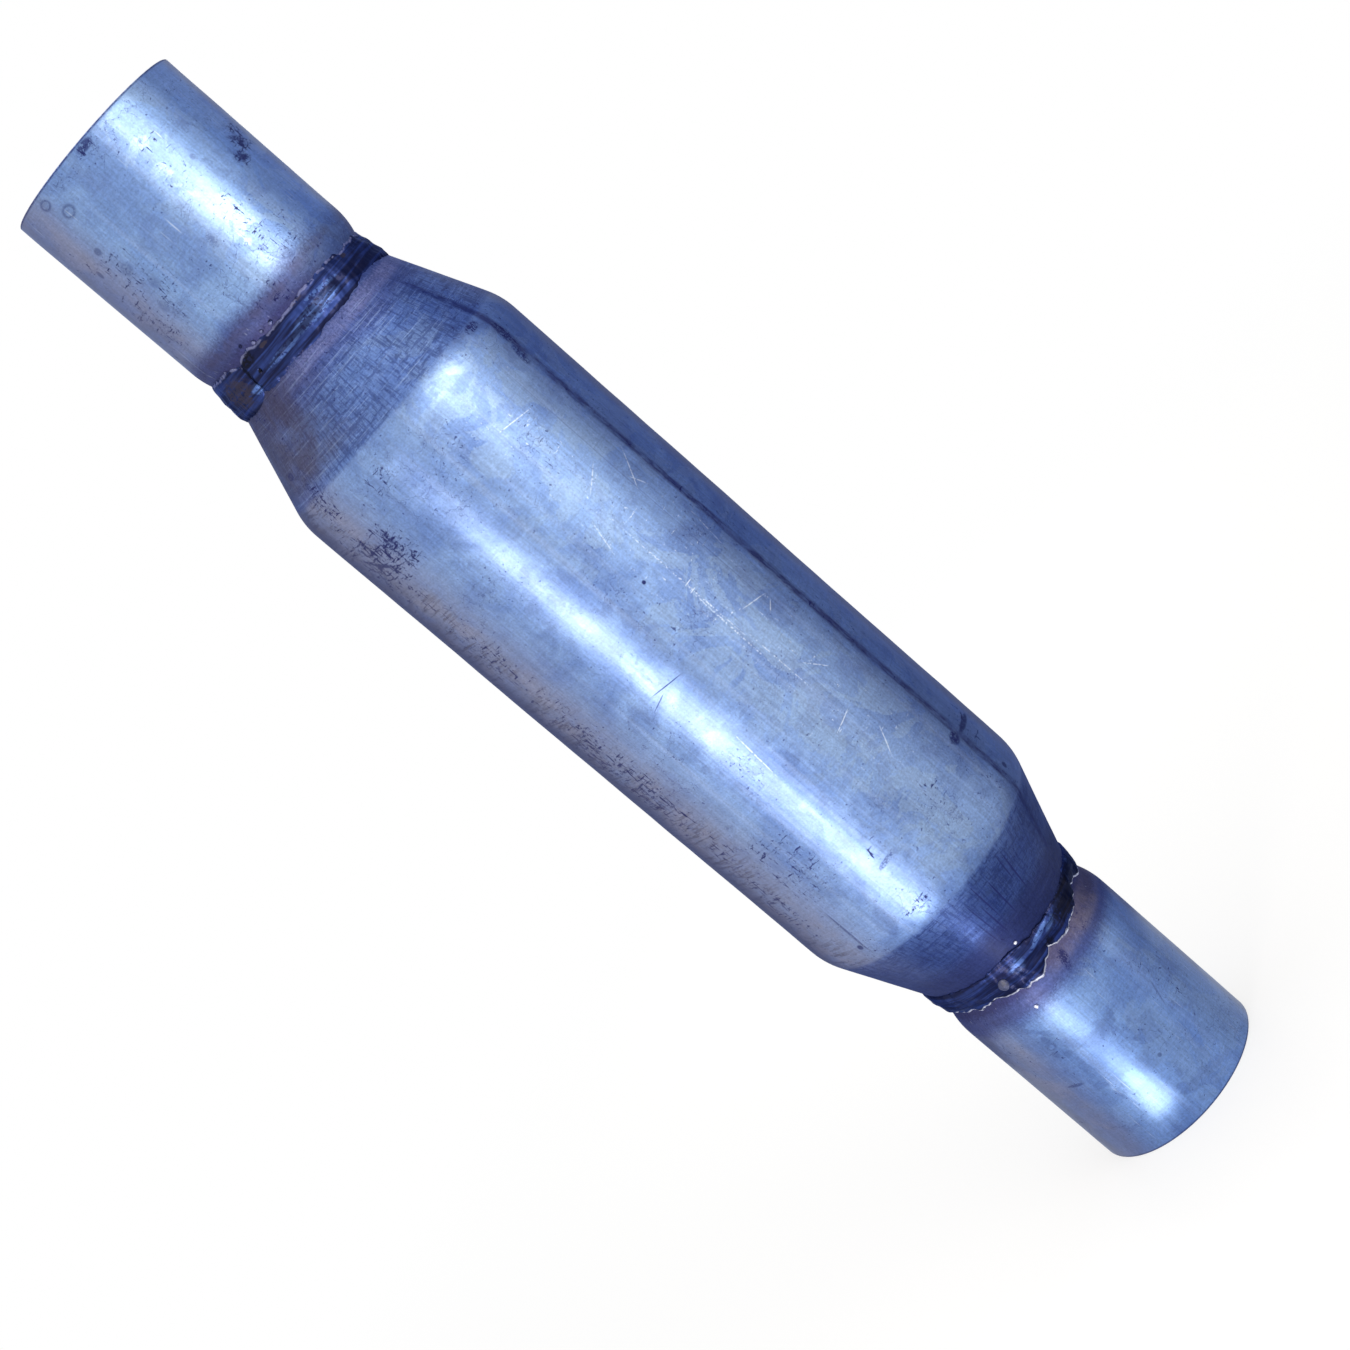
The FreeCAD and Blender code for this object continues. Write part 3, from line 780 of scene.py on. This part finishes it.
def pipe_piece(name, root_z, way, length, seed):
    """A pipe from its weld root, which way goes up or down to the open end: the outside, the
    rounded edge, the bore and the seat of the core."""
    straight = BEVEL + DRAW_LENGTH
    bore = PIPE_R - PIPE_WALL
    outer_s = [0, 1.8, 3.6, *np.linspace(BEVEL, straight, 10)]
    outer_s += [*np.linspace(straight + 1.5, length - RIM, 44)]
    outline = [(float(pipe_r(s)), s) for s in outer_s]
    for t in map(math.radians, (30, 60, 90)):
        outline.append((PIPE_R - RIM + RIM * math.cos(t), length - RIM + RIM * math.sin(t)))
    for t in map(math.radians, (90, 60, 30, 0)):
        outline.append((bore + RIM - RIM * math.cos(t), length - RIM + RIM * math.sin(t)))
    outline += [(bore, s) for s in np.linspace(length - 3, straight, 26)]
    bend = BEND - PIPE_WALL
    for t in math.asin(DRAW_LENGTH / BEND) * np.linspace(0.2, 1, 5):
        outline.append((PIPE_R - BEND + bend * math.cos(t), straight - bend * math.sin(t)))
    outline += [(THROAT_R, SEAT), (THROAT_R, 0)]
    outline = [(r, root_z + way * s) for r, s in outline]

    def shape(a, radius, z):
        points = place(radius, a, z)
        free = smooth(np.abs(z - root_z), 8, 22)
        edge = smooth(np.abs(z - root_z), length - 6, length)
        swell = 0.035 * waves(points, 60, seed) + 0.01 * waves(points, 11, seed + 1)
        return free * swell * (1 - 0.5 * edge)

    return lathe(name, outline, ROUND, PIPE_STEEL, shape)


# Weld runs. Tables of a, x of the toe on the pipe, x of the toe on the cone, and crown.
INLET_1 = [
    (-60, 71.0, 81.4, 0.3), (-44, 71.9, 80.9, 0.2), (-40.5, 70.0, 82.2, 0.5), (-35, 69.9, 82.5, 0.6),
    (-30, 70.0, 81.6, 0.5), (-19, 71.2, 81.6, 0.5), (-8.5, 70.9, 81.9, 0.6), (2, 70.6, 81.9, 0.7),
    (23, 70.3, 81.8, 0.7), (34, 70.3, 81.6, 0.6), (42.6, 70.3, 80.9, 0.5), (45, 71.2, 80.6, 0.35),
    (55, 71.2, 80.6, 0.35), (66, 71.2, 81.2, 0.35), (75, 71.2, 81.9, 0.4), (120, 70.9, 81.5, 0.5),
    (160, 71.3, 81.2, 0.4), (200, 70.8, 81.8, 0.5), (252, 71.0, 81.5, 0.4),
]
INLET_2 = [
    (-120, 69.3, 82.6, 0.9), (-95, 68.9, 83.0, 1.0), (-75, 68.8, 83.0, 1.0), (-62, 68.8, 83.1, 1.0),
    (-55, 69.1, 83.0, 0.9), (-50, 69.5, 82.8, 0.8), (-40, 69.8, 82.6, 0.7),
]
OUTLET_1 = [
    (16, 366.3, 357.5, 0.5), (23.4, 366.6, 357.2, 0.6), (34.1, 365.6, 356.6, 0.7), (44.8, 363.9, 356.2, 0.7),
    (53.3, 361.8, 355.7, 0.7), (60.8, 362.8, 355.3, 0.8), (71.5, 364.4, 355.5, 0.8), (85, 365.2, 355.5, 0.8),
    (120, 365.4, 355.3, 0.7), (150, 364.8, 355.8, 0.7), (190, 365.5, 355.2, 0.7), (252, 365.0, 355.5, 0.6),
]
OUTLET_2 = [
    (-2, 365.5, 357.2, 0.9), (8, 364.2, 357.4, 1.0), (14, 366.0, 357.0, 1.1), (20, 366.2, 356.9, 1.2),
    (31, 366.0, 357.1, 1.0),
]
OUTLET_3 = [
    (-120, 366.8, 355.6, 0.9), (-90, 366.2, 355.0, 1.0), (-67.2, 364.6, 354.8, 1.0),
    (-56.6, 365.0, 355.0, 1.0), (-45.9, 365.6, 355.3, 1.0), (-35.2, 365.0, 355.9, 1.0),
    (-29.9, 366.3, 356.2, 1.0), (-19.2, 367.5, 355.5, 1.1), (-11.8, 368.4, 355.3, 1.2),
    (-6.4, 369.0, 355.6, 1.2), (0, 367.5, 356.2, 1.1), (6.4, 366.0, 356.8, 1.0), (12, 365.5, 357.2, 0.9),
]

# A weld's section: the points over its crown and on its floor, how blunt its start is, how
# far its toes stand over the steel and how far its floor lies under it
CROWN_POINTS, FLOOR_POINTS = 31, 5
NOSE_POWER = 2.4
TOE_RISE = 0.04
FLOOR_SINK = 0.2


def weld_piece(name, root_x, way, table, first, last, nose, seed, dents=()):
    """A weld run from its round start at angle first down to angle last. Each section goes
    from the toe on the pipe over the crown to the toe on the cone, and back inside the walls.
    A dent is given by its a, x, size and depth."""
    table = np.array(table)
    a = np.arange(first, last - 0.001, -0.5)
    on_pipe = np.abs(np.interp(a, table[:, 0], table[:, 1]) - root_x)
    on_cone = np.abs(np.interp(a, table[:, 0], table[:, 2]) - root_x)
    crown = np.interp(a, table[:, 0], table[:, 3])
    ring = place(30.0, a, np.zeros_like(a))
    on_pipe = on_pipe + 0.22 * waves(ring, 5.0, seed) + 0.1 * waves(ring, 1.6, seed + 1)
    on_cone = on_cone + 0.2 * waves(ring, 6.0, seed + 2) + 0.1 * waves(ring, 1.8, seed + 3)

    # The start narrows to a blunt nose, and v runs from the pipe's toe to the cone's
    part = np.clip((first - a) / nose, 0, 1)
    full = (1 - (1 - part) ** NOSE_POWER) ** (1 / NOSE_POWER)
    middle = (on_pipe - on_cone) / 2
    half = np.maximum((on_pipe + on_cone) / 2 * full, 0.05)
    on_pipe, on_cone = middle + half, half - middle
    v = np.linspace(0, 1, CROWN_POINTS)[None, :]
    s = on_pipe[:, None] * (1 - v) - on_cone[:, None] * v
    pipe_side = pipe_r(np.maximum(on_pipe, 0)) + TOE_RISE
    cone_side = ROOT_R + CONE_SLOPE * on_cone + TOE_RISE
    lift = (1 - np.abs(2 * v - 1) ** 2.8) ** 0.7 * (crown * np.maximum(full, 0.3))[:, None]
    radius = pipe_side[:, None] * (1 - v) + cone_side[:, None] * v + lift
    z = LENGTH - root_x + way * s

    points = place(radius, a[:, None], z)
    inside = smooth(v, 0, 0.12) * smooth(v, 1, 0.88)
    long_waves = waves(points * np.array([0.35, 0.35, 1.0]), 3.4, seed + 4)
    bumps = 0.09 * long_waves + 0.09 * waves(points, 5.5, seed + 5) + 0.02 * waves(points, 1.5, seed + 6)
    radius = radius + bumps * inside
    for at_a, at_x, size, depth in dents:
        gap = np.hypot(np.radians(a[:, None] - at_a) * 31, (LENGTH - z) - at_x)
        radius = radius - depth * np.exp(-(gap / size) ** 2)

    floor_s = [-on_cone, -on_cone / 2, np.zeros_like(a), np.minimum(BEVEL, on_pipe / 2), on_pipe]
    floor_s = np.stack(floor_s, axis=1)
    floor_r = np.where(floor_s < 0, ROOT_R - CONE_SLOPE * floor_s, pipe_r(np.abs(floor_s))) - FLOOR_SINK
    radius = np.concatenate([radius, floor_r], axis=1)
    z = np.concatenate([z, LENGTH - root_x + way * floor_s], axis=1)
    vertices, faces = sweep(place(radius, a[:, None], z), False)
    piece = make_piece(name, vertices, faces, WELD, 55.0)

    # The attribute across is v on the crown, and 0.5 on the floor and at the two end points
    section = np.concatenate([np.linspace(0, 1, CROWN_POINTS), np.full(FLOOR_POINTS, 0.5)])
    set_attribute(piece, "across", np.concatenate([np.tile(section, len(a)), [0.5, 0.5]]))
    return piece


def blob(centre, outward, radius, flat, seed, segments=18, rings=10):
    """An uneven ball of metal, flattened along its outward way."""
    outward = outward / np.linalg.norm(outward)
    side = np.cross(outward, (0, 0, 1.0))
    side /= np.linalg.norm(side)
    up = np.cross(side, outward)
    vertices = [centre - outward * radius * flat]
    for ring in range(1, rings):
        t = math.pi * ring / rings
        for segment in range(segments):
            u = 2 * math.pi * segment / segments
            way = math.sin(t) * (math.cos(u) * side + math.sin(u) * up)
            vertices.append(centre + radius * (way - outward * math.cos(t) * flat))
    vertices.append(centre + outward * radius * flat)
    vertices = np.array(vertices)
    vertices = centre + (vertices - centre) * (1 + 0.1 * waves(vertices, radius * 2.2, seed))[:, None]
    pairs = [(s, (s + 1) % segments) for s in range(segments)]
    faces = [[0, 1 + after, 1 + s] for s, after in pairs]
    for ring in range(rings - 2):
        low, high = 1 + ring * segments, 1 + (ring + 1) * segments
        faces += [[low + s, low + after, high + after, high + s] for s, after in pairs]
    top, last = len(vertices) - 1, 1 + (rings - 2) * segments
    faces += [[last + s, last + after, top] for s, after in pairs]
    return vertices, faces


def spatter_piece():
    """Balls of weld metal: end, on pipe or cone, distance from the weld root, angle a, radius."""
    rows = [
        ("outlet", "pipe", 13.0, -21.4, 0.7), ("outlet", "cone", 6.4, -2.2, 0.6),
        ("inlet", "pipe", 6.3, -10.8, 0.75), ("inlet", "pipe", 6.6, -17.5, 0.55),
        ("inlet", "pipe", 6.2, -25.2, 0.65), ("inlet", "pipe", 8.4, -31.5, 0.5),
    ]
    vertices, faces = np.zeros((0, 3)), []
    for number, (end, on, distance, a, radius) in enumerate(rows):
        root, up = (INLET_ROOT, 1) if end == "inlet" else (OUTLET_ROOT, -1)
        if on == "pipe":
            surface, z = float(pipe_r(distance)), root + up * distance
        else:
            surface, z = ROOT_R + CONE_SLOPE * distance, root - up * distance
        centre = place(surface + radius * 0.45, a, z)
        new, sides = blob(centre, place(1.0, a, 0.0), radius, flat=0.8, seed=60 + number)
        faces += [[i + len(vertices) for i in side] for side in sides]
        vertices = np.concatenate([vertices, new])
    return make_piece("weld_spatter_balls", vertices, faces, WELD)


def slag_piece():
    """The flat island of slag on the third run at the outlet."""
    a = -24.6
    centre = place(32.0, a, OUTLET_ROOT - 0.65)
    vertices, faces = blob(centre, place(1.0, a, 0.0), 1.85, flat=0.27, seed=71, segments=32, rings=14)
    return make_piece("slag_island", vertices, faces, SLAG)


def soft_tube(name, outline, material, size, height, seed):
    """A tube of wound fibres, with bumps of two sizes."""
    def shape(a, radius, z):
        points = place(radius, a, z)
        bumps = 0.5 * waves(points, size, seed) + 0.5 * waves(points, size / 2.6, seed + 1)
        return height * np.clip(bumps, -1, 1)

    return lathe(name, outline, np.arange(0, 360, 3.0), material, shape, 80.0)


def lined_r(distance):
    """How far out the packing may reach inside the shell."""
    return np.minimum(ROOT_R + CONE_SLOPE * distance - LINING / math.cos(CONE_ANGLE), SHELL_R - LINING)


# Mesh, x of the root, way up or down to the pipe, table, first and last angle, length of the
# nose, seed, and dents
WELDS = {
    "inlet_weld_run_1": (
        "inlet_bead_1", INLET_X, 1, INLET_1, 252.0, -57.0, 10.0, 101,
        [(-34.7, 76.25, 0.6, 1.1), (-36, 71.5, 1.6, 0.35)],
    ),
    "inlet_weld_run_2": ("inlet_bead_2", INLET_X, 1, INLET_2, -41.5, -120.0, 13.0, 111),
    "outlet_weld_run_1": ("outlet_bead_1", OUTLET_X, -1, OUTLET_1, 252.0, 18.0, 10.0, 121),
    "outlet_weld_run_2": ("outlet_bead_2", OUTLET_X, -1, OUTLET_2, 30.0, -1.0, 10.0, 131),
    "outlet_weld_run_3": ("outlet_bead_3", OUTLET_X, -1, OUTLET_3, 11.0, -120.0, 13.0, 141),
}

pieces = {}
pieces["body_shell"] = shell_piece()
grime(pieces["body_shell"], SHELL_R, SHELL_HATCH)
pieces["inlet_pipe"] = pipe_piece("inlet_pipe_tube", INLET_ROOT, 1, INLET_PIPE, 21)
pieces["outlet_pipe"] = pipe_piece("outlet_pipe_tube", OUTLET_ROOT, -1, OUTLET_PIPE, 31)
for pipe in ("inlet_pipe", "outlet_pipe"):
    grime(pieces[pipe], PIPE_R, PIPE_HATCH)
for node, row in WELDS.items():
    pieces[node] = weld_piece(*row)
pieces["weld_spatter"] = spatter_piece()
pieces["slag_spot"] = slag_piece()

# Wool and packing keep clear of what lies round them by more than the height of their bumps
wool_end = (WOOL_R + GAP + LINING / math.cos(CONE_ANGLE) - ROOT_R) / CONE_SLOPE
wool_z = np.linspace(OUTLET_ROOT + wool_end, INLET_ROOT - wool_end, 130)
wool = [(WOOL_R - 0.25, z) for z in wool_z] + [(CORE_R + 0.35, z) for z in wool_z[::-1]]
pieces["steel_wool_wrap"] = soft_tube("steel_wool_layer", wool, WOOL, size=6.0, height=0.2, seed=151)
pack_z = wool_z[1:-1]
packing = [(max(float(lined_r(from_root(z))) - 0.7, WOOL_R + 0.9), z) for z in pack_z]
packing += [(WOOL_R + 0.5, z) for z in pack_z[::-1]]
pieces["fibre_packing"] = soft_tube("fibre_mat", packing, FIBRE, size=12.0, height=0.25, seed=161)

for node, piece in pieces.items():
    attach(piece, "root")
    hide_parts(node)
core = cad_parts["perforated_core"]
core.data.materials.clear()
core.data.materials.append(CORE)


# Stage, in metres: a pale floor in a white surround, two cards that only reflections show,
# soft lamps in front, behind and above, and two strips on the floor
FLOOR_R = 6
FLOOR_CORNERS = 96
CARD_HEIGHT = 0.5
CARD_STEPS = 48


def stage_mesh(name, vertices, faces, material):
    mesh = bpy.data.meshes.new(name)
    mesh.from_pydata(vertices, [], faces)
    mesh.materials.append(material)
    return link_object(name, mesh)


def shown_rays(g):
    """Light Path's outputs, and 1 where the white surround shows: to the camera and in
    mirror or glass."""
    path = g.node("ShaderNodeLightPath").outputs
    return path, g.most(path["Is Camera Ray"], path["Is Glossy Ray"], path["Is Transmission Ray"])


def floor_piece():
    material, g = new_material("floor_paper")
    place_on = g.node("ShaderNodeTexCoord").outputs["Object"]
    grain = g.noise(place_on, 900.0, 2.0)
    colour = g.mix(grain, rgb(232, 232, 232), rgb(238, 238, 238))
    normal = g.bump(grain, 0.05, 0.0002)
    lit = g.node("ShaderNodeBsdfDiffuse", {"Color": colour, "Normal": normal}).outputs[0]

    # White towards the horizon; in reflections it is blue-grey near the object
    path, seen = shown_rays(g)
    away = g.node("ShaderNodeVectorMath", {0: place_on}, operation="LENGTH").outputs["Value"]
    shaded = g.times(path["Is Glossy Ray"], g.step(away, 0.36, 0.1))
    glow_colour = g.mix(shaded, (1, 1, 1, 1), (0.45, 0.52, 0.7, 1))
    glow = g.node("ShaderNodeEmission", {"Color": glow_colour, "Strength": 1.0}).outputs[0]
    share = g.most(g.step(away, 0.12, 0.7, 0.7, 1.0), path["Is Glossy Ray"])
    mixed = g.node("ShaderNodeMixShader", {0: g.times(seen, share), 1: lit, 2: glow})
    g.node("ShaderNodeOutputMaterial", {0: mixed.outputs[0]})
    angles = np.linspace(0, 2 * math.pi, FLOOR_CORNERS + 1)[:-1]
    rim = [(FLOOR_R * math.cos(t), FLOOR_R * math.sin(t), 0.0) for t in angles]
    floor = stage_mesh("floor", rim, [list(range(FLOOR_CORNERS))], material)


def flag(name, white_at, dark_at, last, radius, level, upper_level):
    """A curved card round one side, which only reflections show: white at one bearing and
    dark blue from another on, as bright as level below and as upper_level above."""
    material, g = new_material(name)
    parts = g.node("ShaderNodeSeparateXYZ", {0: g.node("ShaderNodeTexCoord").outputs["Object"]}).outputs
    grade = g.step(g.bearing(parts[0], parts[1]), white_at, dark_at)
    low = (level * 0.75, level, level * 2.1, 1)
    top = (upper_level * 0.8, upper_level, upper_level * 1.6, 1)
    colour = g.mix(grade, (1, 1, 1, 1), g.mix(g.step(parts[2], 0.32, 0.38), low, top))
    card_glow = g.node("ShaderNodeEmission", {"Color": colour, "Strength": 1.0})
    g.node("ShaderNodeOutputMaterial", {0: card_glow.outputs[0]})
    bearings = np.linspace(white_at, last, CARD_STEPS + 1)
    edges = [place(radius, bearings, 0.001), place(radius, bearings, CARD_HEIGHT)]
    above = CARD_STEPS + 1
    faces = [[i, i + 1, i + 1 + above, i + above] for i in range(CARD_STEPS)]
    card = stage_mesh(name, np.concatenate(edges).tolist(), faces, material)
    card.visible_camera = False
    card.visible_diffuse = False
    card.visible_shadow = False


def lamp(name, place_at, aim, width, height, watts, colour):
    """A rectangular lamp that looks at the point aim."""
    data = bpy.data.lights.new(name, "AREA")
    data.shape = "RECTANGLE"
    data.size, data.size_y = width, height
    data.energy = watts
    data.color = colour
    light = link_object(name, data)
    light.location = place_at
    light.rotation_euler = (Vector(place_at) - Vector(aim)).to_track_quat("Z", "Y").to_euler()
    light.visible_camera = False
    return light


WARM = (1.0, 0.97, 0.86)
floor_piece()
flag("flag_right", 50, 92, 156, 0.12, 0.16, 0.36)
flag("flag_left", -86, -126, -164, 0.12, 0.18, 0.45)
lamp("strip", (-0.135, -0.225, 0.135), (0, 0, 0.16), 0.05, 0.26, 0.35, (1.0, 0.9, 0.8))
lamp("soft_wall", (0.3, -0.5, 0.3), (0, 0, 0.25), 0.75, 0.6, 0.6, WARM)
lamp("soft_box", (0.36, -0.5, 0.42), (0, 0, 0.36), 0.32, 0.22, 1.2, (1.0, 0.94, 0.82))
lamp("back_wall", (0.04, 0.62, 0.32), (0, 0, 0.25), 0.26, 0.5, 1.1, WARM)
lamp("top", (0.0, 0.1, 1.3), (0, 0, 0.2), 1.0, 1.0, 8.0, (1.0, 1.0, 1.0))

# Strips that shine up from the floor, along the line that the outlet pipe's highlight
# reflects: where they begin and end, their width and their watts
FOOT_BEARING = -32.0
FEET = {"foot_near": (0.014, 0.06, 0.02, 0.016), "foot_far": (0.115, 0.3, 0.045, 0.17)}
for name, (near, far, width, watts) in FEET.items():
    foot = place(PIPE_R * MM, -16.0, 0.004) + place((near + far) / 2, FOOT_BEARING, 0.0)
    light = lamp(name, tuple(foot), (foot[0], foot[1], 1.0), width, far - near, watts, WARM)
    light.rotation_euler = (math.pi, 0, math.radians(FOOT_BEARING))

world = bpy.data.worlds.new("studio")
bpy.context.scene.world = world
world.use_nodes = True
world.node_tree.nodes.clear()
w = Graph(world.node_tree)
_, shown = shown_rays(w)
strength = w.add(0.6, w.times(shown, 0.4))
surround = w.node("ShaderNodeBackground", {"Color": (1, 1, 1, 1), "Strength": strength})
w.node("ShaderNodeOutputWorld", {0: surround.outputs[0]})

# Camera at the photograph's viewing angle, as fitted to the outline of the object in it
camera_data = bpy.data.cameras.new("camera")
camera_data.lens = 63.73
camera_data.sensor_width = 36.0
camera_data.clip_start = 0.01
camera_data.clip_end = 50.0
camera = link_object("camera", camera_data)
tilt = Euler((math.radians(90 - 11.633), 0, 0)).to_matrix()
roll = Matrix.Rotation(math.radians(-49.351), 3, "Z")
camera.matrix_world = Matrix.Translation((-0.0068, -0.7103, 0.356)) @ (tilt @ roll).to_4x4()
bpy.context.scene.camera = camera
bpy.context.scene.view_settings.view_transform = "Standard"
